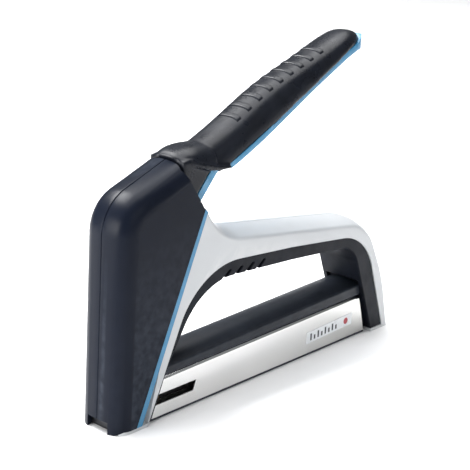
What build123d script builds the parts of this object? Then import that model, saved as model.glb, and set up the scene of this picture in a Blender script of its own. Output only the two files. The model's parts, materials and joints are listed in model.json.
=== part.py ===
from build123d import *
import math
import os

# A spring-driven hand staple gun. Millimetres.
# It is drawn from a datum on the floor below the front of the nose: +X runs back to the tail, +Z is up,
# and the Y = 0 plane is the seam between the two halves. Left is -Y, seen from behind the tail.
# Each piece is exported with its origin under the middle of the whole tool.

# ---- driving dimensions ------------------------------------------------------------------------------
half_width = 13.0             # body and nose, outside
side_wall = 2.3               # moulded walls
inner_half = half_width - side_wall
seam_bevel = 0.35             # groove where the two halves meet

# nose cover: a tall front wall, a round shoulder and a sloping top
nose_path = [(-0.6, 0), (2.6, 99.0), (38.2, 112.8)]
nose_radii = [20.0]
nose_crown_radius = 40.0
nose_corner_radius = 8.0
nose_front_wall = 2.8
nose_slot_half = 8.0          # the deeper middle of the nose room
nose_side_inset = 4.6         # inner corner of the nose room, where the side walls start
nose_rail_depth = 11.0        # how far the rounded front edge reaches into the nose
nose_rear_edge = [(38.2, 113.5), (37.2, 109.9), (49.9, 91.0)]
exit_notch_half = 6.2
exit_notch_height = 5.3
exit_notch_depth = 3.6

# the slanted coloured strip between the nose cover and the body: X = foot + lean * Z
strip_front_foot, strip_front_lean = 10.1, 0.4384
strip_rear_foot, strip_rear_lean = 13.3, 0.4285
strip_top = 89.6
strip_tip = 91.2
lip_height = 1.5              # pale lip that shows under the dark pieces
lip_rise = [(0.8, 0), (4.0, 1.5)]
lip_inset = 0.2
lip_rear = 17.6

# body: its upper edge, from the lever slot over the back of the hand to the floor
ridge_path = [(46.6, 97.5), (61.2, 74.9), (169.8, 60.5), (186.2, 28.5), (193.0, 0)]
ridge_radii = [30.0, 28.0, 90.0]
ridge_crown_radius = 24.0
ridge_corner_radius = 2.5
crown_height = 3.6            # centre line above the edge of the body
slot_end = 60.0               # the lever slot
slot_floor = 83.0
shell_web = 5.0               # where the crowned edge of the body joins its flat side
shell_rail_depth = 9.5
shell_skin = 1.5              # wall under the crown
hole_skin = 2.2               # wall round the hand hole
tail_foot = (178.4, 192.0)    # pale foot under the tail

# rubber liner round the hand hole
liner_outer = [(17.1, 0), (46.9, 65.7), (112.0, 61.1), (169.5, 55.0), (188.7, 0)]
liner_outer_radii = [38.0, 300.0, 31.0]
liner_inner = [(18.9, 0), (28.9, 23.3), (49.9, 57.7), (109.0, 54.8), (160.0, 50.8), (179.4, 0)]
liner_inner_radii = [20.0, 34.0, 400.0, 16.0]
liner_half = 12.6
grip_notches = 4              # slanted slots under the fingers
grip_notch_pitch = 7.75
grip_notch_first = 61.6
grip_notch_shape = [(-1.6, 54.6), (0.8, 54.6), (6.6, 59.5), (5.8, 60.1)]

# magazine
cover_half = 10.5
cover_wall = 0.9
cover_bottom = 1.2
cover_front, cover_rear = 16.0, 175.3
cover_top_front, cover_top_rear = 18.7, 21.65
cover_slant = 5.6             # the rear edge leans forward by this much at the top
cover_bend = 1.6
window_bottom, window_top = 7.0, 11.6
window_front, window_rear = 19.0, 47.7
window_slant = 1.8
bar_half = 10.0
bar_front, bar_rear = 26.5, 171.0
bar_top_front, bar_top_rear = 25.3, 29.6
bar_crown_radius = 22.0
bar_room = 30.0               # the bar and the cover stay below this height
label_front, label_rear = 127.6, 164.2
label_bottom, label_top = 6.3, 12.3
label_climb = 1.4
channel_inner, channel_outer = 5.6, 6.6
channel_roof, channel_top = 13.5, 14.5
hanger_places = [60.0, 150.0]  # where the inner channel hangs from the cover
hanger_length = 6.0
tunnel_half, tunnel_top = 8.3, 17.0

# staples
wire = 0.5
staple_crown = 10.6
staple_leg = 10.0
staple_pitch = 1.27
staple_count = 20
staple_front = 6.1
staple_bottom = 3.0

# steel plate in front of the blade
plate_front, plate_rear = 2.8, 4.4
plate_half, plate_top = 8.0, 40.0

# drive train
pivot = (35.0, 88.0)
pivot_radius = 2.5
fork_inner, fork_outer = 8.05, 9.35
roller_arm = 21.0
roller_drop = 31.0            # degrees below level at rest
roller_radius = 3.0
roller_pin_radius = 1.5
roller_inner, roller_outer = 6.2, 7.9
plunger_x = 13.0
cup_radius, cup_bore = 5.9, 4.9
cup_bottom, cup_floor, cup_top = 42.2, 50.0, 83.8
ear_bottom = 80.35
cup_bevel = [(4.0, 76.0), (6.6, 78.8), (10.0, 83.4), (10.0, 85.0), (4.0, 85.0)]
blade_front, blade_rear = 4.9, 5.9
blade_half = 5.2
spring_radius, spring_wire = 4.7, 1.8
bumper_front, bumper_rear = 6.3, 22.0
bumper_bottom, bumper_top = 38.0, 42.0
cap_seat = 96.8
cap_radius, cap_thick = 4.8, 1.4

# magazine drawer
rail_half, rail_wall, rail_top = 4.4, 0.9, 12.2
floor_bottom, floor_top = 0.5, 1.4
rod_height, rod_radius = 7.0, 1.0
latch_front = 165.0
latch_step, latch_shelf = 177.0, 13.0
latch_top = 16.4
latch_proud = 2.6
pusher_front, pusher_rear = 31.5, 50.0

# lever
neck_half = 10.4
neck_rear = [(61.0, 107.0), (55.6, 106.7), (46.0, 95.5), (43.9, 93.1)]
# lever grip stations: distance from the datum, underside, top, half-width
grip_stations = [
    (52.0, 103.0, 115.2, 11.0),
    (62.0, 106.2, 119.6, 11.4),
    (80.0, 114.7, 128.0, 11.8),
    (95.0, 121.9, 135.8, 11.8),
    (110.0, 129.2, 142.0, 11.5),
    (130.0, 139.1, 149.2, 10.9),
    (148.0, 148.3, 155.9, 10.0),
    (156.0, 151.6, 157.7, 8.5),
    (160.5, 152.6, 157.0, 6.4),
    (162.6, 153.3, 155.7, 3.0),
]
# the domed middle of the collar, drawn like the grip
collar_stations = [
    (38.6, 113.2, 114.4, 5.0),
    (40.8, 112.2, 115.7, 8.2),
    (45.0, 110.8, 117.0, 10.6),
    (51.0, 109.0, 117.6, 11.6),
    (58.0, 107.5, 117.4, 11.6),
]
# the collar's rim: side view of its lower and upper faces, and its plan
rim_lower = [(37.6, 113.3), (41.6, 111.4), (50.3, 108.3), (56.4, 106.8), (66.4, 106.5)]
rim_upper = [(37.6, 114.7), (41.6, 113.6), (50.3, 111.0), (58.0, 108.9), (66.4, 107.6)]
rim_middle, rim_length, rim_half = 51.0, 13.8, 12.7
rim_rear = 66.4
rim_clearance = 25.5          # from the pivot, over the end of the nose
rim_step = 39.0
trim_lower = [(48.2, 92.9), (60.0, 106.2), (67.4, 106.3), (149.7, 145.5), (157.2, 148.7), (165.6, 149.6)]
trim_upper = [(166.4, 152.0), (165.9, 155.4), (162.6, 155.7), (157.0, 152.0), (148.0, 148.3), (64.2, 107.3)]
trim_half = 12.0
trim_start = 59.0
trim_tip_radius = 9.0
trim_tip_x = 156.6

# shell screws: place on the side view
screw_places = [(25.0, 100.0), (38.1, 50.9), (100.0, 65.9), (164.6, 56.3), (183.9, 25.0)]
screw_head, screw_shank = 2.4, 1.4
boss_radius = 2.7

overall_front, overall_rear = -0.43, 195.48
FAR = 260.0                   # longer than the whole tool, for cutting


# ---- helpers -----------------------------------------------------------------------------------------
def on_side(x, z):
    """A point of the side view."""
    return (x, 0, z)


def unit(vector):
    """A vector of the side view, one long."""
    size = math.hypot(vector[0], vector[1])
    return (vector[0] / size, vector[1] / size)


def path(corners, radii, inset=0.0):
    """Straight runs joined by arcs, drawn parallel to the corners, inset to the right of the run."""
    runs = []
    for start, end in zip(corners, corners[1:]):
        along = unit((end[0] - start[0], end[1] - start[1]))
        right = (along[1], -along[0])
        runs.append((start, end, along, right))
    moved = [(runs[0][0][0] + inset * runs[0][3][0], runs[0][0][1] + inset * runs[0][3][1])]
    new_radii = []
    for before, after, radius in zip(runs, runs[1:], radii):
        turn = before[2][0] * after[2][1] - before[2][1] * after[2][0]
        bisector = unit((before[3][0] + after[3][0], before[3][1] + after[3][1]))
        reach = inset / (bisector[0] * before[3][0] + bisector[1] * before[3][1])
        corner = before[1]
        moved.append((corner[0] + reach * bisector[0], corner[1] + reach * bisector[1]))
        new_radii.append(radius - inset if turn < 0 else radius + inset)
    last = runs[-1]
    moved.append((last[1][0] + inset * last[3][0], last[1][1] + inset * last[3][1]))
    return FilletPolyline(*[on_side(x, z) for x, z in moved], radius=new_radii)


def closed_by(curve, corners):
    """The face between a curve of the side view and straight edges from its end back to its start."""
    end = curve @ 1
    start = curve @ 0
    rest = Polyline(end, *[on_side(x, z) for x, z in corners], start)
    return make_face(curve.edges() + rest.edges())


def between(upper, lower):
    """The face between two curves of the side view that run the same way."""
    edges = upper.edges() + lower.edges()
    edges += [Line(upper @ 0, lower @ 0).edge(), Line(upper @ 1, lower @ 1).edge()]
    return make_face(edges)


def polygon(corners):
    """A straight-sided face of the side view."""
    return make_face(Polyline(*[on_side(x, z) for x, z in corners], close=True))


def plate(face, y_low, y_high):
    """A side-view face given thickness."""
    return Pos(0, y_low, 0) * extrude(face, amount=y_high - y_low, dir=(0, 1, 0))


def block(x_low, x_high, y_low, y_high, z_low, z_high):
    """A box between two corners."""
    size = (x_high - x_low, y_high - y_low, z_high - z_low)
    middle = ((x_low + x_high) / 2, (y_low + y_high) / 2, (z_low + z_high) / 2)
    return Pos(*middle) * Box(*size)


def pin_y(x, z, radius, y_low, y_high):
    """A round pin across the tool."""
    middle = (x, (y_low + y_high) / 2, z)
    return Pos(*middle) * Rot(90, 0, 0) * Cylinder(radius, y_high - y_low)


def pin_z(x, y, radius, z_low, z_high):
    """An upright round pin."""
    return Pos(x, y, (z_low + z_high) / 2) * Cylinder(radius, z_high - z_low)


def pin_x(y, z, radius, x_low, x_high):
    """A round pin along the tool."""
    return Pos((x_low + x_high) / 2, y, z) * Rot(0, 90, 0) * Cylinder(radius, x_high - x_low)


def both_sides(piece):
    """A piece and its mirror image in the centre plane."""
    return piece + mirror(piece, about=Plane.XZ)


def crowned_section(half, crown_radius, corner_radius, depth):
    """Half of a crowned edge: Y across, up is out of the tool, bevelled at the seam."""
    corner_y = half - corner_radius
    rise = math.sqrt((crown_radius - corner_radius) ** 2 - corner_y ** 2)
    corner_down = crown_radius - rise
    share = crown_radius / (crown_radius - corner_radius)
    meet = (corner_y * share, -(crown_radius - rise * share))
    seam_y = seam_bevel
    seam_down = crown_radius - math.sqrt(crown_radius ** 2 - seam_y ** 2)
    middle_y = (seam_y + meet[0]) / 2
    middle_down = crown_radius - math.sqrt(crown_radius ** 2 - middle_y ** 2)
    half_way = math.atan2(rise, corner_y) / 2
    bulge_y = corner_y + corner_radius * math.cos(half_way)
    bulge_down = corner_down - corner_radius * math.sin(half_way)
    outline = [
        Line((0, -depth), (half, -depth)),
        Line((half, -depth), (half, -corner_down)),
        ThreePointArc((half, -corner_down), (bulge_y, -bulge_down), meet),
        ThreePointArc(meet, (middle_y, -middle_down), (seam_y, -seam_down)),
        Line((seam_y, -seam_down), (0, -seam_down - seam_bevel)),
        Line((0, -seam_down - seam_bevel), (0, -depth)),
    ]
    return make_face(Curve() + outline)


def edge_rail(curve, section):
    """A section carried along a side-view curve, with its up side to the left of the run."""
    start = Plane(origin=curve @ 0, x_dir=(0, 1, 0), z_dir=curve % 0)
    return sweep(start * section, path=curve)


def dome_section(x, bottom, top, half, squareness=2.5, points=6):
    """An upright slice across the tool: flat below, a full round arch above."""
    arch = []
    for step in range(2 * points + 1):
        angle = math.pi * step / (2 * points)
        across = abs(math.cos(angle)) ** (2 / squareness)
        up = abs(math.sin(angle)) ** (2 / squareness)
        side = 1 if step < points else -1
        arch.append((x, side * half * across, bottom + (top - bottom) * up))
    curve = Spline(*arch)
    base = Line(curve @ 1, curve @ 0)
    return make_face(curve.edges() + base.edges())


def dome(stations):
    """A long arched solid through its upright slices."""
    return loft([dome_section(*station) for station in stations])


def coil(radius, wire_size, turns, length):
    """A helical spring, standing up from the origin."""
    middle = radius - wire_size / 2
    line = Helix(pitch=(length - wire_size) / turns, height=length - wire_size, radius=middle)
    section = Plane(origin=line @ 0, z_dir=line % 0) * Circle(wire_size / 2)
    return Pos(0, 0, wire_size / 2) * sweep(section, path=line, is_frenet=True)


def screw_hole(x, z):
    """Clear hole and counterbore through the right-hand wall, blind hole in the left-hand boss."""
    head = pin_y(x, z, screw_head + 0.2, inner_half - 0.1, half_width + 3)
    return head + pin_y(x, z, screw_shank, -9.0, inner_half)


def strip_line(foot, lean, z):
    """A point on one of the two slanted edges of the coloured strip."""
    return (foot + lean * z, z)


# ---- housing -----------------------------------------------------------------------------------------
def nose_cover(side):
    """One half of the dark nose: side +1 is the right-hand half."""
    outline = [strip_line(strip_front_foot, strip_front_lean, strip_tip)]
    outline += [strip_line(strip_front_foot, strip_front_lean, 0)]
    inner_edge = path(nose_path, nose_radii, inset=nose_rail_depth - 1.0)
    web = plate(closed_by(inner_edge, [nose_rear_edge[2]] + outline), 0, half_width)
    section = crowned_section(half_width, nose_crown_radius, nose_corner_radius, nose_rail_depth)
    piece = web + edge_rail(path(nose_path, nose_radii), section)
    behind = nose_rear_edge + [(FAR, 91.0), (FAR, FAR), (38.2, FAR)]
    piece -= plate(polygon(behind), 0, FAR)
    front_room = closed_by(path(nose_path, nose_radii, inset=nose_front_wall), [(FAR, 110), (FAR, 0)])
    side_room = closed_by(path(nose_path, nose_radii, inset=nose_side_inset), [(FAR, 110), (FAR, 0)])
    piece -= plate(front_room, 0, nose_slot_half)
    piece -= plate(side_room, 0, inner_half)
    piece -= cap_plate()
    piece -= block(-5, exit_notch_depth, 0, exit_notch_half, -5, exit_notch_height)
    piece -= block(plate_front, blade_front, 0, plate_half, -5, plate_top)
    piece -= plate(polygon(lip_rise + [(FAR, lip_height), (FAR, -5), (lip_rise[0][0], -5)]), 0, FAR)
    piece -= block(-5, FAR, 0, FAR, -5, 0)
    piece += boss_piece(screw_places[0])
    if side < 0:
        piece = mirror(piece, about=Plane.XZ)
    piece -= pin_y(pivot[0], pivot[1], pivot_radius, -12.0, 12.0)
    piece -= screw_hole(*screw_places[0])
    return piece


def boss_piece(place):
    """Screw boss of a right-hand half, from the seam to the wall."""
    return pin_y(place[0], place[1], boss_radius, 0, inner_half + 0.2)


def body_shell(side):
    """One half of the pale body: side +1 is the right-hand half."""
    hole = path(liner_outer, liner_outer_radii)
    web = plate(between(path(ridge_path, ridge_radii, inset=shell_web), hole), 0, half_width)
    section = crowned_section(half_width, ridge_crown_radius, ridge_corner_radius, shell_rail_depth)
    crown = path(ridge_path, ridge_radii, inset=-crown_height)
    piece = web + edge_rail(crown, section) - plate(closed_by(hole, []), 0, FAR)
    front = [strip_line(strip_rear_foot, strip_rear_lean, -20), strip_line(strip_rear_foot, strip_rear_lean, 140)]
    piece -= plate(polygon(front + [(-FAR, 140), (-FAR, -20)]), 0, FAR)
    piece -= block(-5, FAR, 0, FAR, -20, 0)
    room_top = path(ridge_path, ridge_radii, inset=shell_skin)
    room_hole = path(liner_outer, liner_outer_radii, inset=-hole_skin)
    room = plate(between(room_top, room_hole), 0, inner_half)
    piece -= room & block(-FAR, FAR, 0, FAR, 2 * lip_height, FAR)
    piece -= block(0, slot_end, 0, inner_half, slot_floor, FAR)
    piece -= block(0, 50, 0, inner_half, -5, bar_room)
    piece += front_lip()
    piece += block(*tail_foot, tunnel_half, half_width, 0, lip_height)
    for place in screw_places[1:]:
        piece += boss_piece(place)
    piece -= block(150, FAR, 0, tunnel_half, -5, tunnel_top)
    if side < 0:
        piece = mirror(piece, about=Plane.XZ)
    for place in screw_places[1:]:
        piece -= screw_hole(*place)
    return piece


def front_lip():
    """Thin pale foot that runs forward under the right-hand side of the nose and round its corner."""
    outside = half_width - lip_inset
    corner = nose_corner_radius - lip_inset
    front = nose_path[0][0] + lip_inset
    plan = Pos(front + FAR / 2, 0, 0) * RectangleRounded(FAR, 2 * outside, corner)
    foot = extrude(plan, amount=lip_height, dir=(0, 0, 1))
    foot &= block(front, lip_rear, inner_half, half_width, 0, lip_height)
    under = polygon(lip_rise + [(FAR, lip_height), (FAR, 0)])
    return foot & plate(under, 0, FAR)


def trim_strip(side):
    """The coloured strip let into one side, between nose cover and body."""
    corners = [
        strip_line(strip_front_foot, strip_front_lean, lip_height),
        strip_line(strip_rear_foot, strip_rear_lean, lip_height),
        strip_line(strip_rear_foot, strip_rear_lean, strip_top),
        strip_line(strip_front_foot, strip_front_lean, strip_tip),
    ]
    strip = plate(polygon(corners), inner_half, half_width)
    return strip if side > 0 else mirror(strip, about=Plane.XZ)


def hand_grip_liner():
    """Rubber sleeve on the three sides of the hand hole, notched under the fingers."""
    outer = path(liner_outer, liner_outer_radii)
    inner = path(liner_inner, liner_inner_radii)
    sleeve = plate(between(outer, inner), -liner_half, liner_half)
    sleeve &= block(0, FAR, -FAR, FAR, lip_height, FAR)
    sleeve -= block(0, 60, -inner_half, inner_half, -5, bar_room)
    sleeve -= block(120, bar_rear + 0.2, -bar_half - 0.1, bar_half + 0.1, -5, bar_top_rear + 0.2)
    sleeve -= block(120, FAR, -tunnel_half, tunnel_half, -5, tunnel_top)
    for number in range(grip_notches):
        x = grip_notch_first + number * grip_notch_pitch
        groove = polygon([(x + forward, z) for forward, z in grip_notch_shape])
        sleeve -= plate(groove, -FAR, FAR)
    return sleeve


# ---- magazine ----------------------------------------------------------------------------------------
def cover_top(x):
    """Height of the cover's top, which climbs towards the tail."""
    share = (x - cover_front) / (cover_rear - cover_slant - cover_front)
    return cover_top_front + share * (cover_top_rear - cover_top_front)


def magazine_cover():
    """Bright channel over the magazine, with a window on both sides near the front."""
    outline = [
        (cover_front, cover_bottom),
        (cover_rear, cover_bottom),
        (cover_rear - cover_slant, cover_top_rear),
        (cover_front, cover_top_front),
    ]
    outside = plate(polygon(outline), -cover_half, cover_half)
    bends = [edge for edge in outside.edges() if edge.length > 100 and edge.center().Z > cover_bottom + 5]
    outside = fillet(bends, cover_bend)
    hollow = [(0, -5), (FAR, -5), (FAR, cover_top(FAR) - cover_wall), (0, cover_top(0) - cover_wall)]
    inside = plate(polygon(hollow), -cover_half + cover_wall, cover_half - cover_wall)
    window = polygon([
        (window_front, window_bottom),
        (window_rear, window_bottom),
        (window_rear + window_slant, window_top),
        (window_front, window_top),
    ])
    return outside - inside - plate(window, -FAR, FAR)


def magazine_runners():
    """Dark edge strips under the cover, which guide the drawer floor."""
    runner = block(cover_front, cover_rear, tunnel_half, cover_half, 0.3, cover_bottom)
    return both_sides(runner)


def bar_section(x, top):
    """An upright slice of the top bar: flat below, crowned above."""
    bottom = cover_top(x) + 0.1
    shoulder = top - bar_crown_radius + math.sqrt(bar_crown_radius ** 2 - bar_half ** 2)
    outline = [
        Line((x, bar_half, bottom), (x, bar_half, shoulder)),
        ThreePointArc((x, bar_half, shoulder), (x, 0, top), (x, -bar_half, shoulder)),
        Line((x, -bar_half, shoulder), (x, -bar_half, bottom)),
        Line((x, -bar_half, bottom), (x, bar_half, bottom)),
    ]
    return make_face(Curve() + outline)


def magazine_top_bar():
    """Dark bar with a crowned top, lying on the cover and climbing with it towards the tail."""
    return loft([bar_section(bar_front, bar_top_front), bar_section(bar_rear, bar_top_rear)])


def magazine_label():
    """Blank label on the left side of the cover."""
    outline = [
        (label_front, label_bottom),
        (label_rear, label_bottom + label_climb),
        (label_rear, label_top + label_climb),
        (label_front, label_top),
    ]
    return plate(polygon(outline), -cover_half - 0.15, -cover_half)


def staple_channel():
    """Inner channel that holds the staple strip upright."""
    piece = block(staple_front, latch_front - 1, -channel_outer, channel_outer, 2.0, channel_top)
    piece -= block(0, FAR, -channel_inner, channel_inner, -5, channel_roof)
    piece -= block(window_front, window_rear, -FAR, FAR, window_bottom - 0.4, window_top + 0.4)
    for x in hanger_places:
        roof = cover_top(x) - cover_wall
        piece += block(x, x + hanger_length, -channel_outer, channel_outer, channel_top, roof)
    return piece


def staple_strip():
    """A strip of glued staples."""
    length = staple_count * staple_pitch
    half = staple_crown / 2
    strip = block(staple_front, staple_front + length, -half, half, staple_bottom, staple_bottom + staple_leg)
    strip -= block(0, FAR, -half + wire, half - wire, 0, staple_bottom + staple_leg - wire)
    for number in range(1, staple_count):
        x = staple_front + number * staple_pitch
        strip -= block(x - 0.08, x + 0.08, -half - 1, -half + 0.2, 0, 20)
        strip -= block(x - 0.08, x + 0.08, half - 0.2, half + 1, 0, 20)
    return strip


# ---- nose mechanism ----------------------------------------------------------------------------------
def nose_plate():
    """Steel plate that closes the front of the driver's slot."""
    return block(plate_front, plate_rear, -plate_half, plate_half, 0.2, plate_top)


def bumper():
    """Rubber block that stops the plunger."""
    piece = block(bumper_front, bumper_rear, -inner_half, inner_half, bumper_bottom, bumper_top)
    return piece - pin_z(plunger_x, 0, 1.5, bumper_bottom - 1, bumper_top + 1)


def cap_plate():
    """Flat part of the spring cap, let into the roof of the nose."""
    disc = pin_z(plunger_x, 0, cap_radius, cap_seat, cap_seat + cap_thick)
    wings = block(plunger_x - 1, plunger_x + 4, -inner_half, inner_half, cap_seat, cap_seat + cap_thick)
    return disc + wings


def spring_cap():
    """Seat for the upper end of the main spring, held between the side walls."""
    return cap_plate() + pin_z(plunger_x, 0, 2.5, cap_seat - 5.0, cap_seat)


def plunger():
    """Cup for the main spring, with ears for the rollers and a lug for the driver blade."""
    piece = pin_z(plunger_x, 0, cup_radius, cup_bottom, cup_top)
    ear = block(plunger_x - 3, plunger_x + 7, 4.0, roller_outer, ear_bottom, cup_top)
    piece += both_sides(ear)
    piece -= plate(polygon(cup_bevel), -FAR, FAR)
    piece += block(blade_rear, plunger_x, -4.0, 4.0, 44.0, 56.0)
    piece -= pin_z(plunger_x, 0, cup_bore, cup_floor, cup_top + 1)
    piece -= pin_x(0, 50.0, 1.2, blade_rear - 1, 9.0)
    return piece


def driver_blade():
    """Thin hardened blade that pushes one staple out."""
    piece = block(blade_front, blade_rear, -blade_half, blade_half, 1.0, 56.0)
    return piece - pin_x(0, 50.0, 1.2, 0, 20)


def driver_rivet():
    """Rivet that holds the blade to the plunger."""
    return pin_x(0, 50.0, 1.2, blade_front, 9.0)


def mainspring():
    """Strong spring between the plunger's cup and the cap."""
    return Pos(plunger_x, 0, cup_floor + 0.1) * coil(spring_radius, spring_wire, 11, cap_seat - cup_floor - 0.2)


# ---- lever -------------------------------------------------------------------------------------------
def roller_place():
    """Centre of the lift rollers at rest."""
    drop = math.radians(roller_drop)
    return (pivot[0] - roller_arm * math.cos(drop), pivot[1] - roller_arm * math.sin(drop))


def fork_cheek():
    """Side outline of one steel cheek: roller eye, pivot boss and the strap inside the grip."""
    roller = roller_place()
    eye = Pos(*on_side(*roller)) * Rot(90, 0, 0) * Circle(3.4)
    boss = Pos(*on_side(*pivot)) * Rot(90, 0, 0) * Circle(6.0)
    across = (math.sin(math.radians(roller_drop)), -math.cos(math.radians(roller_drop)))
    arm = polygon([
        (pivot[0] + 5.2 * across[0], pivot[1] + 5.2 * across[1]),
        (roller[0] + 3.2 * across[0], roller[1] + 3.2 * across[1]),
        (roller[0] - 3.2 * across[0], roller[1] - 3.2 * across[1]),
        (pivot[0] - 5.2 * across[0], pivot[1] - 5.2 * across[1]),
    ])
    strap = polygon([(30.2, 90.0), (42.5, 109.3), (54.0, 111.6), (100, 131), (101.3, 127.2), (61, 108.6),
                     (54.5, 107.4), (40.2, 90.0)])
    y_low, y_high = fork_inner, fork_outer
    cheek = plate(eye, y_low, y_high) + plate(boss, y_low, y_high)
    cheek += plate(arm, y_low, y_high) + plate(strap, y_low, y_high)
    cheek -= pin_y(roller[0], roller[1], roller_pin_radius, 0, 20)
    return cheek


def lever_arm():
    """Pressed steel fork: two cheeks joined by a web inside the grip."""
    web = polygon([(60, 114.13), (100, 131), (100.5, 129.7), (60.5, 112.83)])
    piece = both_sides(fork_cheek()) + plate(web, -fork_inner, fork_inner)
    return piece - pin_y(pivot[0], pivot[1], pivot_radius + 0.05, -20, 20)


def lever_neck():
    """Moulding round the fork, between the side walls of the nose."""
    outline = [(32.0, 95.2), (38.9, 107.5), (38.9, 113.1), (47.0, 113.5), (56.0, 114.0), (61.0, 109.0)]
    return plate(polygon(outline + neck_rear), -neck_half, neck_half)


def lever_collar():
    """Flared rim and domed foot of the grip, just behind the end of the nose."""
    rim = plate(polygon(rim_lower + rim_upper[::-1]), -rim_half, rim_half)
    plan = Pos(rim_middle, 0, 0) * Ellipse(rim_length, rim_half)
    front_half = extrude(plan, amount=FAR, dir=(0, 0, 1))
    rear_half = block(rim_middle, rim_rear, -rim_half, rim_half, 0, FAR)
    rim &= front_half + rear_half
    over_nose = pin_y(pivot[0], pivot[1], rim_clearance, -FAR, FAR) & block(0, rim_step, -FAR, FAR, 0, FAR)
    return rim + dome(collar_stations) - over_nose


def lever_grip(arm):
    """Long arched grip with its neck and collar, moulded over the steel fork."""
    piece = dome(grip_stations)
    piece -= block(0, 60.0, -FAR, FAR, 0, 107.0)
    return piece + lever_neck() + lever_collar() - arm


def lever_trim(arm, grip):
    """Coloured tray under the grip and down the back of the neck, round at the tip."""
    side = plate(polygon(trim_lower + trim_upper + neck_rear[1:3]), -FAR, FAR)
    neck = block(0, trim_start, -neck_half, neck_half, 0, FAR)
    edge = Spline((trim_start, neck_half, 0), (68.0, trim_half - 0.3, 0), (90.0, trim_half, 0),
                  (trim_tip_x, trim_tip_radius, 0), tangents=[(1, 0.2, 0), (1, 0, 0)])
    far_edge = mirror(edge, about=Plane.XZ)
    tip = ThreePointArc(edge @ 1, (trim_tip_x + trim_tip_radius, 0, 0), far_edge @ 1)
    front = Line(far_edge @ 0, edge @ 0)
    outline = make_face(edge.edges() + tip.edges() + far_edge.edges() + front.edges())
    footprint = extrude(outline, amount=FAR, dir=(0, 0, 1)) + neck
    return (side & footprint) - grip - arm


def roller_pins():
    """Short pins that carry the rollers."""
    roller = roller_place()
    return both_sides(pin_y(roller[0], roller[1], roller_pin_radius, 6.0, 9.6))


def lift_rollers():
    """A roller under each ear of the plunger."""
    roller = roller_place()
    wheel = pin_y(roller[0], roller[1], roller_radius, roller_inner, roller_outer)
    wheel -= pin_y(roller[0], roller[1], roller_pin_radius + 0.05, 0, 20)
    return both_sides(wheel)


def lever_pivot_pin():
    """Cross pin, held in blind holes in the two nose covers."""
    return pin_y(pivot[0], pivot[1], pivot_radius, -12.0, 12.0)


def lever_return_spring():
    """Coil round the cross pin that lifts the lever."""
    turns = coil(4.4, 1.2, 7, 13.0)
    return Pos(pivot[0], 6.5, pivot[1]) * Rot(90, 0, 0) * turns


# ---- drawer ------------------------------------------------------------------------------------------
def magazine_rail():
    """Drawer floor with the upright rail that the staples straddle."""
    piece = block(8.0, latch_front, -8.0, 8.0, floor_bottom, floor_top)
    piece += block(staple_front, latch_front, -rail_half, rail_half, floor_top, rail_top)
    piece -= block(7.6, latch_front - 3, -rail_half + rail_wall, rail_half - rail_wall, floor_top + 0.6, 20)
    piece -= pin_x(0, rod_height, rod_radius, staple_front + 0.7, 200)
    return piece


def pusher_rod():
    """Rod that guides the pusher and its spring."""
    return pin_x(0, rod_height, rod_radius, staple_front + 0.7, latch_front + 3)


def magazine_latch():
    """Block at the rear end of the drawer, flush with the tail."""
    slope = (ridge_path[-1][0] - ridge_path[-2][0]) / ridge_path[-2][1]
    tail = ridge_path[-1][0] + latch_proud
    outline = [
        (latch_front, floor_bottom),
        (tail - floor_bottom * slope, floor_bottom),
        (tail - latch_top * slope, latch_top),
        (latch_step + 4.0, latch_top),
        (latch_step, latch_shelf),
        (latch_front, latch_shelf),
    ]
    piece = plate(polygon(outline), -8.0, 8.0)
    piece -= pin_x(0, rod_height, rod_radius, 0, latch_front + 3)
    for number in range(3):
        z = 5.0 + 3.4 * number
        x = tail - z * slope
        piece -= Pos(x, 0, z) * Rot(0, -math.degrees(math.atan(slope)), 0) * Box(2.0, 20, 1.2)
    return piece


def staple_pusher():
    """Saddle that pushes the strip forward, with a tongue inside the rail."""
    piece = block(pusher_front, pusher_rear, -5.2, 5.2, staple_bottom, 13.2)
    piece -= both_sides(block(0, FAR, 3.2, 4.6, 0, 12.4))
    piece -= block(0, FAR, -4.6, 4.6, 0, 4.0)
    piece -= pin_x(0, rod_height, rod_radius + 0.2, 0, FAR)
    return piece


def pusher_spring():
    """Long light spring on the rod, behind the pusher."""
    length = latch_front - 3 - pusher_rear - 0.2
    return Pos(pusher_rear + 0.1, 0, rod_height) * Rot(0, 90, 0) * coil(2.7, 0.7, 24, length)


def shell_screws():
    """Five screws that hold the right-hand half to the left-hand one."""
    screws = Part()
    for x, z in screw_places:
        screw = pin_y(x, z, screw_head, inner_half - 0.1, 12.2) + pin_y(x, z, screw_shank, -9.0, inner_half)
        slot = Box(4.0, 0.8, 0.7)
        cross = Pos(x, 12.2, z) * slot + Pos(x, 12.2, z) * Rot(0, 90, 0) * slot
        screws += screw - cross
    return screws


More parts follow.
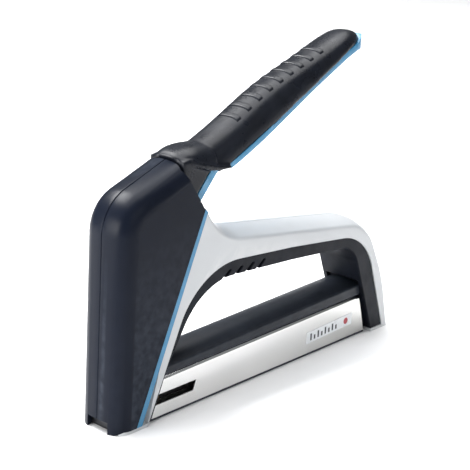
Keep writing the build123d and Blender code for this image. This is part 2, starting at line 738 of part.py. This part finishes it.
arm = lever_arm()
grip = lever_grip(arm)
trim = lever_trim(arm, grip)
pieces = {
    "nose_cover_right": nose_cover(1),
    "nose_cover_left": nose_cover(-1),
    "body_shell_right": body_shell(1),
    "body_shell_left": body_shell(-1),
    "trim_strip_right": trim_strip(1),
    "trim_strip_left": trim_strip(-1),
    "hand_grip_liner": hand_grip_liner(),
    "magazine_cover": magazine_cover(),
    "magazine_runners": magazine_runners(),
    "magazine_top_bar": magazine_top_bar(),
    "magazine_label": magazine_label(),
    "staple_channel": staple_channel(),
    "staple_strip": staple_strip(),
    "nose_plate": nose_plate(),
    "bumper": bumper(),
    "spring_cap": spring_cap(),
    "lever_pivot_pin": lever_pivot_pin(),
    "lever_return_spring": lever_return_spring(),
    "shell_screws": shell_screws(),
    "lever_arm": arm,
    "lever_grip": grip,
    "lever_trim": trim,
    "roller_pins": roller_pins(),
    "lift_rollers": lift_rollers(),
    "plunger": plunger(),
    "driver_blade": driver_blade(),
    "driver_rivet": driver_rivet(),
    "mainspring": mainspring(),
    "magazine_rail": magazine_rail(),
    "pusher_rod": pusher_rod(),
    "magazine_latch": magazine_latch(),
    "staple_pusher": staple_pusher(),
    "pusher_spring": pusher_spring(),
}

os.makedirs("parts", exist_ok=True)
to_middle = Pos(-(overall_front + overall_rear) / 2, 0, 0)
for name, piece in pieces.items():
    export_step(to_middle * piece, f"parts/{name}.step")
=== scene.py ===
import json
import math

import bpy
from mathutils import Matrix, Vector
from mathutils.bvhtree import BVHTree


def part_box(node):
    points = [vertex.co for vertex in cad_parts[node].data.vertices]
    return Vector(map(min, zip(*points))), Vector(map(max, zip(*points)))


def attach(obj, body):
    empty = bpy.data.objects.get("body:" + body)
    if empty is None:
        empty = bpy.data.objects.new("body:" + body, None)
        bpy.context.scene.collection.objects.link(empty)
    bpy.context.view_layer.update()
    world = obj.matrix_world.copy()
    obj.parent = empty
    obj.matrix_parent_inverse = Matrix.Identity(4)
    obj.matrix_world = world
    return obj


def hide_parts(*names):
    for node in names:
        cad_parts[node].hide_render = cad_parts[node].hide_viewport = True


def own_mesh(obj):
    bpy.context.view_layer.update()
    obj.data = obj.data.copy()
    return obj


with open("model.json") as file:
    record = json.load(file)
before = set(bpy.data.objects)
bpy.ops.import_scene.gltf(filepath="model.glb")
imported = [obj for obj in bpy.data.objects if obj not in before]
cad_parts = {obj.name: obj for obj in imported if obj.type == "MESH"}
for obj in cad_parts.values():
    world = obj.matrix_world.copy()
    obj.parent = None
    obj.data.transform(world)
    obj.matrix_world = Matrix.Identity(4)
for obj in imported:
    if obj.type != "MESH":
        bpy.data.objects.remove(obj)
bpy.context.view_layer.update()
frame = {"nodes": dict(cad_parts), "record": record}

NODES = frame["nodes"]
MM = 0.001

# ---- camera and room ---------------------------------------------------------------------------------
CAMERA_AZIMUTH = -48.402        # degrees, 0 looks along +Y
CAMERA_ELEVATION = 17.353       # degrees, looking down
CAMERA_ROLL = 2.016             # degrees
CAMERA_DISTANCE = 0.56896
CAMERA_LENS = 95.17             # millimetres
CAMERA_SENSOR = 36.0            # millimetres
AIM = Vector((-0.01360, 0.0, 0.06956))

FLOOR_HALF = 6.0
WORLD_COLOUR = (0.94, 0.97, 1.0)
WORLD_STRENGTH = 0.26

# name, place, point that it faces, width, height, watts
SOFTBOXES = (
    ("top_softbox", (0.1, 0.35, 1.5), (0, 0, 0.05), 1.8, 1.4, 44),
    ("mirror_softbox", (-0.13, 1.0, 1.25), (0, 0, 0.1), 0.62, 0.45, 24),
    ("left_softbox", (-1.2, 0.35, 0.32), (0, 0, 0.06), 0.9, 0.5, 17),
    ("front_softbox", (-0.2, -1.6, 0.9), (0, 0, 0.05), 1.4, 0.9, 5),
)

# ---- helpers: shader nodes ---------------------------------------------------------------------------
MIX_FIRST, MIX_SECOND, MIX_RESULT = 6, 7, 2     # a Mix node's colour sockets
EDGE_STARTS, EDGE_FULL = 0.52, 0.60             # pointiness at which an edge starts to wear, and is worn
WEAR_PATCHES = 240                              # per metre
WEAR_LEAST = 0.2                                # share of the wear that the least worn patches have


class Shader:
    """A material's node tree with short calls for the nodes that the finishes share."""

    def __init__(self, name, colour, roughness, metallic=0.0):
        self.material = bpy.data.materials.new(name)
        self.material.use_nodes = True
        self.tree = self.material.node_tree
        self.surface = self.tree.nodes["Principled BSDF"]
        self.surface.inputs["Base Color"].default_value = (*colour, 1.0)
        self.surface.inputs["Roughness"].default_value = roughness
        self.surface.inputs["Metallic"].default_value = metallic
        self.colour = colour
        self.roughness = roughness
        self.place = self.tree.nodes.new("ShaderNodeTexCoord").outputs["Object"]

    def link(self, source, target):
        self.tree.links.new(source, target)

    def stretched(self, scale):
        """Object coordinates, scaled along each axis."""
        mapping = self.tree.nodes.new("ShaderNodeMapping")
        mapping.inputs["Scale"].default_value = scale
        self.link(self.place, mapping.inputs["Vector"])
        return mapping.outputs["Vector"]

    def noise(self, scale, detail=2.0, vector=None, roughness=0.5):
        """Noise from 0 to 1; scale is in features per metre."""
        node = self.tree.nodes.new("ShaderNodeTexNoise")
        node.inputs["Scale"].default_value = scale
        node.inputs["Detail"].default_value = detail
        node.inputs["Roughness"].default_value = roughness
        self.link(vector if vector is not None else self.place, node.inputs["Vector"])
        return node.outputs["Fac"]

    def spread(self, value, low, high, start=0.35, end=0.65):
        """A value that runs from low to high while another runs from start to end."""
        node = self.tree.nodes.new("ShaderNodeMapRange")
        node.inputs["From Min"].default_value = start
        node.inputs["From Max"].default_value = end
        node.inputs["To Min"].default_value = low
        node.inputs["To Max"].default_value = high
        self.link(value, node.inputs["Value"])
        return node.outputs["Result"]

    def mixed(self, factor, first, second):
        """A colour between two, by factor."""
        node = self.tree.nodes.new("ShaderNodeMix")
        node.data_type = "RGBA"
        self.link(factor, node.inputs["Factor"])
        for number, value in ((MIX_FIRST, first), (MIX_SECOND, second)):
            socket = node.inputs[number]
            if isinstance(value, bpy.types.NodeSocket):
                self.link(value, socket)
            else:
                socket.default_value = (*value, 1.0)
        return node.outputs[MIX_RESULT]

    def vary_colour(self, scale, amount):
        """Slow cloudiness of the base colour."""
        dark = [c * (1 - amount) for c in self.colour]
        light = [min(1, c * (1 + amount)) for c in self.colour]
        cloud = self.spread(self.noise(scale), 0, 1)
        self.link(self.mixed(cloud, dark, light), self.surface.inputs["Base Color"])

    def vary_roughness(self, scale, amount):
        """Patches that are a little duller or shinier."""
        patches = self.noise(scale, detail=3.0)
        value = self.spread(patches, self.roughness - amount, self.roughness + amount)
        self.link(value, self.surface.inputs["Roughness"])

    def bump(self, height, strength, distance):
        """Fine relief; distance is in metres."""
        node = self.tree.nodes.new("ShaderNodeBump")
        node.inputs["Strength"].default_value = strength
        node.inputs["Distance"].default_value = distance
        self.link(height, node.inputs["Height"])
        self.link(node.outputs["Normal"], self.surface.inputs["Normal"])

    def cover_with(self, factor, colour):
        """Another colour over a base colour that already varies."""
        base = self.surface.inputs["Base Color"]
        under = base.links[0].from_socket
        self.link(self.mixed(factor, under, colour), base)

    def worn_edges(self, worn, amount):
        """Edges rubbed towards another colour, in patches."""
        geometry = self.tree.nodes.new("ShaderNodeNewGeometry")
        edge = self.spread(geometry.outputs["Pointiness"], 0, amount, EDGE_STARTS, EDGE_FULL)
        patchy = self.tree.nodes.new("ShaderNodeMath")
        patchy.operation = "MULTIPLY"
        self.link(edge, patchy.inputs[0])
        patches = self.noise(WEAR_PATCHES, detail=3.0)
        self.link(self.spread(patches, WEAR_LEAST, 1.0), patchy.inputs[1])
        self.cover_with(patchy.outputs["Value"], worn)


# ---- finishes ----------------------------------------------------------------------------------------
def moulded_plastic(name, colour, roughness, grain, worn, cloud=0.10, shine=0.5):
    """Satin moulding: spark-eroded grain, slow cloudiness, rubbed edges."""
    shader = Shader(name, colour, roughness)
    shader.surface.inputs["Specular IOR Level"].default_value = shine
    shader.vary_colour(scale=55, amount=cloud)
    shader.worn_edges(worn, amount=0.5)
    shader.vary_roughness(scale=90, amount=0.03)
    shader.bump(shader.noise(scale=2600, detail=3.0), strength=grain, distance=0.00008)
    return shader.material


def soft_rubber(name, colour, roughness, shine=0.3):
    """Matt rubber: very fine pits and slow, dusty patches."""
    shader = Shader(name, colour, roughness)
    shader.surface.inputs["Specular IOR Level"].default_value = shine
    shader.vary_colour(scale=120, amount=0.18)
    shader.vary_roughness(scale=140, amount=0.06)
    pits = shader.noise(scale=3600, detail=4.0, roughness=0.65)
    shader.bump(pits, strength=0.35, distance=0.0001)
    return shader.material


def bright_plating():
    """Polished plating with faint drawing lines along the cover, a few smears, and a painted dark
    reflection: the base colour darkens towards the rear end.
    """
    shader = Shader("bright_plating", (0.80, 0.795, 0.785), 0.13, metallic=1.0)
    lines = shader.noise(scale=1.0, detail=3.0, vector=shader.stretched((12, 900, 900)))
    shader.vary_roughness(scale=38, amount=0.05)
    shader.bump(lines, strength=0.045, distance=0.00005)
    low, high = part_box("magazine_cover")
    axes = shader.tree.nodes.new("ShaderNodeSeparateXYZ")
    shader.link(shader.place, axes.inputs["Vector"])
    # painted dark reflection: from just before the cover's middle to its rear end, the base colour is
    # darkened to grey
    painted_reflection_from = (low[0] + high[0]) / 2 - 10 * MM
    painted_dark_reflection = shader.spread(axes.outputs["X"], 0.0, 1.0, painted_reflection_from, high[0])
    shader.vary_colour(scale=24, amount=0.02)
    shader.cover_with(painted_dark_reflection, (0.52, 0.52, 0.505))
    return shader.material


def steel(name, colour, roughness, along=(60, 900, 900)):
    """Plain steel with fine lines one way and darker patches."""
    shader = Shader(name, colour, roughness, metallic=1.0)
    lines = shader.noise(scale=1.0, detail=4.0, vector=shader.stretched(along))
    shader.vary_colour(scale=180, amount=0.15)
    shader.vary_roughness(scale=300, amount=0.08)
    shader.bump(lines, strength=0.12, distance=0.00005)
    return shader.material


def gloss_print(name, colour, roughness=0.3):
    """Printed film: smooth, faintly mottled."""
    shader = Shader(name, colour, roughness)
    shader.vary_colour(scale=60, amount=0.012)
    shader.vary_roughness(scale=200, amount=0.06)
    shader.bump(shader.noise(scale=900), strength=0.03, distance=0.00005)
    return shader.material


def floor_finish():
    """White paper, almost even."""
    shader = Shader("floor_paper", (0.93, 0.93, 0.935), 0.75)
    shader.vary_colour(scale=3, amount=0.004)
    return shader.material


FINISHES = {
    "nose_plastic": moulded_plastic("navy_moulding", (0.0055, 0.0078, 0.0150), 0.33,
                                    grain=0.10, worn=(0.05, 0.06, 0.08), cloud=0.05, shine=0.09),
    "body_plastic": moulded_plastic("pale_moulding", (0.53, 0.545, 0.56), 0.34,
                                    grain=0.05, worn=(0.66, 0.66, 0.66), cloud=0.02),
    "trim_blue": moulded_plastic("blue_moulding", (0.035, 0.200, 0.370), 0.34,
                                 grain=0.04, worn=(0.16, 0.36, 0.52), cloud=0.06),
    "liner_rubber": soft_rubber("liner_rubber", (0.0070, 0.0085, 0.0130), 0.48, shine=0.12),
    "bumper_rubber": soft_rubber("bumper_rubber", (0.02, 0.02, 0.02), 0.6),
    "cover_chrome": bright_plating(),
    "bar_plastic": moulded_plastic("bar_moulding", (0.0120, 0.0150, 0.0220), 0.42,
                                   grain=0.08, worn=(0.06, 0.07, 0.09), shine=0.22),
    "label_white": gloss_print("label_film", (0.80, 0.82, 0.84)),
    "latch_plastic": moulded_plastic("latch_moulding", (0.012, 0.014, 0.020), 0.45,
                                     grain=0.10, worn=(0.08, 0.08, 0.10), shine=0.3),
    "pressed_steel": steel("pressed_steel", (0.42, 0.42, 0.42), 0.36),
    "hard_steel": steel("hard_steel", (0.36, 0.36, 0.37), 0.28),
    "spring_steel": steel("spring_steel", (0.22, 0.21, 0.20), 0.35),
    "staple_wire": steel("staple_wire", (0.50, 0.37, 0.22), 0.36, along=(900, 900, 60)),
    "pusher_plastic": moulded_plastic("pusher_moulding", (0.006, 0.006, 0.007), 0.5,
                                      grain=0.10, worn=(0.03, 0.03, 0.03)),
    "screw_steel": steel("screw_steel", (0.12, 0.12, 0.125), 0.35),
    "grip_rubber": soft_rubber("grip_rubber", (0.0065, 0.0080, 0.0125), 0.31, shine=0.20),
}
DARK_STEEL = steel("blued_steel", (0.045, 0.046, 0.05), 0.42)
PRINT_DARK = gloss_print("print_dark", (0.03, 0.034, 0.045), 0.35)
PRINT_RED = gloss_print("print_red", (0.42, 0.045, 0.06), 0.35)


# ---- CAD nodes ---------------------------------------------------------------------------------------
# width of each piece's softened edges, in millimetres
EDGE_WIDTHS = {
    "nose_cover_left": 0.35, "nose_cover_right": 0.35,
    "body_shell_left": 0.35, "body_shell_right": 0.35,
    "trim_strip_left": 0.12, "trim_strip_right": 0.12, "lever_trim": 0.45,
    "hand_grip_liner": 0.9, "magazine_cover": 0.18, "magazine_top_bar": 0.8, "magazine_runners": 0.15,
    "magazine_latch": 0.4, "nose_plate": 0.2,
}
EDGE_SEGMENTS = 3
WELD_REACH = 0.001 * MM
FLAT_ANGLE = math.radians(1.0)
SHARP_ANGLE = math.radians(32)
GRIP_VOXEL = 0.55 * MM
GRIP_PASSES = 9
GRIP_SMOOTHING = 0.5            # share of the way that each pass moves a point


def soften(obj, width):
    """Rounds a CAD piece's sharp edges without touching its mesh."""
    weld = obj.modifiers.new("join_faces", "WELD")
    weld.merge_threshold = WELD_REACH
    flat = obj.modifiers.new("flat_faces", "DECIMATE")
    flat.decimate_type = "DISSOLVE"
    flat.angle_limit = FLAT_ANGLE
    bevel = obj.modifiers.new("edges", "BEVEL")
    bevel.width = width * MM
    bevel.segments = EDGE_SEGMENTS
    bevel.limit_method = "ANGLE"
    bevel.angle_limit = SHARP_ANGLE
    bevel.harden_normals = True


def melt(obj, voxel, passes, smoothing):
    """Rounds a soft moulding all over, so that its joined forms flow into each other."""
    remesh = obj.modifiers.new("even_skin", "REMESH")
    remesh.mode = "VOXEL"
    remesh.voxel_size = voxel
    remesh.use_smooth_shade = True
    smooth = obj.modifiers.new("melted", "SMOOTH")
    smooth.factor = smoothing
    smooth.iterations = passes


def finish_cad_nodes():
    """Every CAD node's finish, and the softened edges."""
    slots = {row["node"]: row["material_slot"] for row in frame["record"]["subparts"]}
    for name, obj in NODES.items():
        obj.data.materials.clear()
        obj.data.materials.append(FINISHES[slots[name]])
        if name in EDGE_WIDTHS:
            soften(obj, EDGE_WIDTHS[name])
    melt(NODES["lever_grip"], GRIP_VOXEL, GRIP_PASSES, GRIP_SMOOTHING)
    NODES["nose_plate"].data.materials[0] = DARK_STEEL


# ---- added pieces ------------------------------------------------------------------------------------
def new_piece(name, points, faces, material, body, smooth=True):
    """A mesh that rides on a body of the tool."""
    mesh = bpy.data.meshes.new(name)
    mesh.from_pydata(points, [], faces)
    mesh.validate()
    if smooth:
        mesh.shade_smooth()
    piece = bpy.data.objects.new(name, mesh)
    piece.data.materials.append(material)
    bpy.context.scene.collection.objects.link(piece)
    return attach(piece, body)


def closed_grid(top, bottom):
    """Points and faces of a slab between two grids of points with the same rows and columns."""
    rows, columns = len(top), len(top[0])
    points = [p for row in top for p in row] + [p for row in bottom for p in row]
    under = rows * columns
    faces = []
    for r in range(rows - 1):
        for c in range(columns - 1):
            a = r * columns + c
            faces.append((a, a + 1, a + columns + 1, a + columns))
            faces.append((under + a, under + a + columns, under + a + columns + 1, under + a + 1))
    ring = list(range(columns))
    ring += [r * columns + columns - 1 for r in range(1, rows)]
    ring += [(rows - 1) * columns + c for c in range(columns - 2, -1, -1)]
    ring += [r * columns for r in range(rows - 2, 0, -1)]
    for a, b in zip(ring, ring[1:] + ring[:1]):
        faces.append((a, under + a, under + b, b))
    return points, faces


# ---- raised bars on the grip -------------------------------------------------------------------------
BAR_COUNT = 9
BAR_START, BAR_END = 0.345, 0.775       # shares of the grip's length
BAR_WIDTH, BAR_REACH, BAR_HEIGHT = 2.8, 6.6, 0.6        # millimetres; reach is to each side
BAR_RIM, BAR_ROOT = 0.08, 0.5           # millimetres that the rim and the underside lie below the skin
BAR_HALF_ROWS, BAR_HALF_COLUMNS = 8, 4
END_POWER, SIDE_POWER = 8, 4            # higher is squarer
END_STEEPNESS, SIDE_STEEPNESS = 2, 1.6
RAY_LEAD = 50 * MM


def bar_rise(across, along):
    """A bar's height over the skin, in millimetres; across and along run from -1 to 1."""
    end = max(0.0, 1 - across ** END_POWER)
    side = 1 - along ** SIDE_POWER
    return BAR_HEIGHT * min(1, SIDE_STEEPNESS * side) * min(1, END_STEEPNESS * end) - BAR_RIM


def bar_grids(skin, middle, ray_from):
    """The top and the underside of one bar, laid on the skin."""
    top, bottom = [], []
    for row in range(2 * BAR_HALF_ROWS + 1):
        across = -1 + row / BAR_HALF_ROWS
        upper, lower = [], []
        for column in range(2 * BAR_HALF_COLUMNS + 1):
            along = -1 + column / BAR_HALF_COLUMNS
            x = middle + along * BAR_WIDTH / 2 * MM
            y = across * BAR_REACH * MM
            hit = skin.ray_cast(Vector((x, y, ray_from)), Vector((0, 0, -1)))[0]
            upper.append((x, y, hit.z + bar_rise(across, along) * MM))
            lower.append((x, y, hit.z - BAR_ROOT * MM))
        top.append(upper)
        bottom.append(lower)
    return top, bottom


def add_grip_bars():
    """Low raised bars across the top of the lever, where the palm presses."""
    low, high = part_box("lever_grip")
    skin = BVHTree.FromObject(NODES["lever_grip"], bpy.context.evaluated_depsgraph_get())
    points, faces = [], []
    for number in range(BAR_COUNT):
        share = BAR_START + (BAR_END - BAR_START) * number / (BAR_COUNT - 1)
        middle = low[0] + share * (high[0] - low[0])
        more_points, more_faces = closed_grid(*bar_grids(skin, middle, high[2] + RAY_LEAD))
        faces += [tuple(i + len(points) for i in face) for face in more_faces]
        points += more_points
    new_piece("lever_grip_bars", points, faces, FINISHES["grip_rubber"], "lever")


# ---- springs -----------------------------------------------------------------------------------------
COIL_CLOSED = 1.2               # closed turns at each end
COIL_STEPS = 36                 # per turn
COIL_AROUND = 10                # corners of the wire's section
MAINSPRING_TURNS, MAINSPRING_WIRE = 9, 1.75 * MM
PUSHER_SPRING_TURNS, PUSHER_SPRING_WIRE = 24, 0.65 * MM


def coil_height(turn, turns, wire, length):
    """Height of the wire's middle after so many turns; the turns at both ends lie closed."""
    if turn < COIL_CLOSED:
        return wire / 2 + wire * turn
    if turn > turns + COIL_CLOSED:
        return length - wire / 2 - wire * (turns + 2 * COIL_CLOSED - turn)
    first = wire / 2 + wire * COIL_CLOSED
    return first + (length - 2 * first) * (turn - COIL_CLOSED) / turns


def coil_piece(name, node, axis, turns, wire, body, slot):
    """A wound spring with closed ends in place of a plain CAD coil."""
    low, high = [Vector(corner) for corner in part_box(node)]
    middle = (low + high) / 2
    others = [i for i in range(3) if i != axis]
    radius = min(high[i] - low[i] for i in others) / 2 - wire / 2
    length = high[axis] - low[axis]
    steps = int(COIL_STEPS * (turns + 2 * COIL_CLOSED))
    points, faces = [], []
    for step in range(steps + 1):
        turn = (turns + 2 * COIL_CLOSED) * step / steps
        height = coil_height(turn, turns, wire, length)
        angle = 2 * math.pi * turn
        for corner in range(COIL_AROUND):
            bend = 2 * math.pi * corner / COIL_AROUND
            out = radius + wire / 2 * math.cos(bend)
            place = middle.copy()
            place[others[0]] += out * math.cos(angle)
            place[others[1]] += out * math.sin(angle)
            place[axis] = low[axis] + height + wire / 2 * math.sin(bend)
            points.append(tuple(place))
    for step in range(steps):
        for corner in range(COIL_AROUND):
            a = step * COIL_AROUND + corner
            b = step * COIL_AROUND + (corner + 1) % COIL_AROUND
            faces.append((a, b, b + COIL_AROUND, a + COIL_AROUND))
    last = steps * COIL_AROUND
    faces.append(tuple(range(COIL_AROUND)))
    faces.append(tuple(range(last + COIL_AROUND - 1, last - 1, -1)))
    piece = new_piece(name, points, faces, FINISHES[slot], body)
    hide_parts(node)
    return piece


def add_mainspring():
    """The upright spring over the plunger, which pushes it together from below."""
    spring = coil_piece("mainspring_coil", "mainspring", 2, MAINSPRING_TURNS, MAINSPRING_WIRE,
                        "housing", "spring_steel")
    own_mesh(spring)


def add_pusher_spring():
    """The long spring behind the staples, which the pusher pushes together from the front."""
    spring = coil_piece("pusher_spring_coil", "pusher_spring", 0, PUSHER_SPRING_TURNS, PUSHER_SPRING_WIRE,
                        "drawer", "spring_steel")
    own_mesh(spring)


# ---- staples -----------------------------------------------------------------------------------------
STAPLE_COUNT = 20
STAPLE_WIRE = 0.5 * MM
STAPLE_GAP = 0.09 * MM
STAPLE_BEND = 0.9 * MM          # outer radius of the crown's corners
BEND_STEPS = 6
POINT_SLANT = 0.8               # rise of a leg's slanted end, as a share of the wire


def staple_run(half, foot, crown, inset):
    """One side of a staple's outline, as y and z: leg, bend, crown, bend, leg."""
    bend = STAPLE_BEND - inset
    run = [(-half + inset, foot + inset * POINT_SLANT)]
    for step in range(BEND_STEPS + 1):
        angle = math.pi - step * math.pi / (2 * BEND_STEPS)
        y = -half + STAPLE_BEND + bend * math.cos(angle)
        z = crown - STAPLE_BEND + bend * math.sin(angle)
        run.append((y, z))
    return run + [(-y, z) for y, z in run[::-1]]


def add_staples():
    """Separate staples, glued side by side."""
    low, high = [Vector(corner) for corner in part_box("staple_strip")]
    half = (high.y - low.y) / 2
    pitch = (high.x - low.x) / STAPLE_COUNT
    outline = [staple_run(half, low.z, high.z, inset) for inset in (0.0, STAPLE_WIRE)]
    count = len(outline[0])
    points, faces = [], []
    for number in range(STAPLE_COUNT):
        base = len(points)
        front_x = low.x + number * pitch + STAPLE_GAP / 2
        back_x = low.x + (number + 1) * pitch - STAPLE_GAP / 2
        for x in (front_x, back_x):
            for run in outline:
                points += [(x, y, z) for y, z in run]
        for i in range(count - 1):
            front, inner, back, back_inner = (base + k * count + i for k in range(4))
            faces.append((front, front + 1, inner + 1, inner))
            faces.append((back, back_inner, back_inner + 1, back + 1))
            faces.append((front, back, back + 1, front + 1))
            faces.append((inner, inner + 1, back_inner + 1, back_inner))
        for i in (0, count - 1):
            faces.append((base + i, base + count + i, base + 3 * count + i, base + 2 * count + i))
    piece = new_piece("staples", points, faces, FINISHES["staple_wire"], "housing",
                      smooth=False)
    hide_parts("staple_strip")


# ---- print on the label ------------------------------------------------------------------------------
LABEL_CLIMB = 1.4 * MM          # rise of the label's edges from front to rear
PRINT_OUT, PRINT_IN = 0.03 * MM, 0.05 * MM      # how far the print stands out of the label and into it
TICK_COUNT = 8
TICK_START, TICK_STEP = 0.08, 0.078             # shares of the label's length
TICK_FOOT, TICK_TALL, TICK_SHORT = 0.2, 0.6, 0.38       # shares of its height
TICK_WIDTH = 1.2 * MM
DOT_PLACE, DOT_LEVEL = 0.86, 0.5                # shares of its length and height
DOT_RADIUS = 1.7 * MM
DOT_CORNERS = 32


def label_size():
    """The label's lowest corner, its length and its height at one end."""
    low, high = [Vector(corner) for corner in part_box("magazine_label")]
    return low, high.x - low.x, high.z - low.z - LABEL_CLIMB


def printed_shape(outline, label_y, start):
    """Points and faces of a thin print with an outline of x and z; its points are numbered from start."""
    count = len(outline)
    points = [(x, y, z) for y in (label_y - PRINT_OUT, label_y + PRINT_IN) for x, z in outline]
    faces = [tuple(range(start, start + count)),
             tuple(range(start + 2 * count - 1, start + count - 1, -1))]
    for i in range(count):
        after = (i + 1) % count
        faces.append((start + i, start + i + count, start + after + count, start + after))
    return points, faces


def add_label_ticks():
    """A plain printed scale on the blank label."""
    low, length, height = label_size()
    points, faces = [], []
    for number in range(TICK_COUNT):
        x = low.x + length * (TICK_START + TICK_STEP * number)
        base = low.z + LABEL_CLIMB * (x - low.x) / length
        tall = TICK_TALL if number % 2 == 0 else TICK_SHORT
        bottom = base + TICK_FOOT * height
        top = base + (TICK_FOOT + tall) * height
        outline = [(x, bottom), (x + TICK_WIDTH, bottom), (x + TICK_WIDTH, top), (x, top)]
        more_points, more_faces = printed_shape(outline, low.y, len(points))
        points += more_points
        faces += more_faces
    new_piece("label_ticks", points, faces, PRINT_DARK, "housing", smooth=False)


def add_label_dot():
    """A plain printed dot behind the scale."""
    low, length, height = label_size()
    centre = low.x + length * DOT_PLACE
    level = low.z + LABEL_CLIMB * DOT_PLACE + height * DOT_LEVEL
    outline = []
    for step in range(DOT_CORNERS):
        angle = 2 * math.pi * step / DOT_CORNERS
        outline.append((centre + DOT_RADIUS * math.cos(angle), level + DOT_RADIUS * math.sin(angle)))
    points, faces = printed_shape(outline, low.y, 0)
    new_piece("label_dot", points, faces, PRINT_RED, "housing", smooth=False)


# ---- room --------------------------------------------------------------------------------------------
def add_floor():
    """A plain floor at the level that the tool stands on."""
    mesh = bpy.data.meshes.new("floor")
    corners = [(-FLOOR_HALF, -FLOOR_HALF, 0), (FLOOR_HALF, -FLOOR_HALF, 0),
               (FLOOR_HALF, FLOOR_HALF, 0), (-FLOOR_HALF, FLOOR_HALF, 0)]
    mesh.from_pydata(corners, [], [(0, 1, 2, 3)])
    floor = bpy.data.objects.new("floor", mesh)
    bpy.context.scene.collection.objects.link(floor)
    floor.data.materials.append(floor_finish())


def add_softbox(name, place, target, width, height, power):
    """A large soft light that faces a point."""
    data = bpy.data.lights.new(name, "AREA")
    data.shape = "RECTANGLE"
    data.size = width
    data.size_y = height
    data.energy = power
    light = bpy.data.objects.new(name, data)
    light.location = place
    light.rotation_euler = (Vector(target) - Vector(place)).to_track_quat("-Z", "Y").to_euler()
    bpy.context.scene.collection.objects.link(light)


def add_world():
    """Even, slightly cool light from all around."""
    world = bpy.data.worlds.new("studio")
    world.use_nodes = True
    background = world.node_tree.nodes["Background"]
    background.inputs["Color"].default_value = (*WORLD_COLOUR, 1.0)
    background.inputs["Strength"].default_value = WORLD_STRENGTH
    bpy.context.scene.world = world


def add_camera():
    """The camera, in front of the tool's left side."""
    azimuth = math.radians(CAMERA_AZIMUTH)
    elevation = math.radians(CAMERA_ELEVATION)
    forward = Vector((-math.sin(azimuth) * math.cos(elevation),
                      math.cos(azimuth) * math.cos(elevation),
                      -math.sin(elevation)))
    data = bpy.data.cameras.new("camera")
    data.lens = CAMERA_LENS
    data.sensor_width = CAMERA_SENSOR
    camera = bpy.data.objects.new("camera", data)
    facing = forward.to_track_quat("-Z", "Y").to_matrix()
    roll = Matrix.Rotation(math.radians(CAMERA_ROLL), 3, "Z")
    camera.matrix_world = Matrix.Translation(AIM - forward * CAMERA_DISTANCE) @ (facing @ roll).to_4x4()
    bpy.context.scene.collection.objects.link(camera)
    bpy.context.scene.camera = camera


# ---- the scene ---------------------------------------------------------------------------------------
add_camera()
add_world()
add_floor()
for softbox in SOFTBOXES:
    add_softbox(*softbox)
bpy.context.scene.view_settings.view_transform = "Standard"

finish_cad_nodes()
add_grip_bars()
add_mainspring()
add_pusher_spring()
add_staples()
add_label_ticks()
add_label_dot()
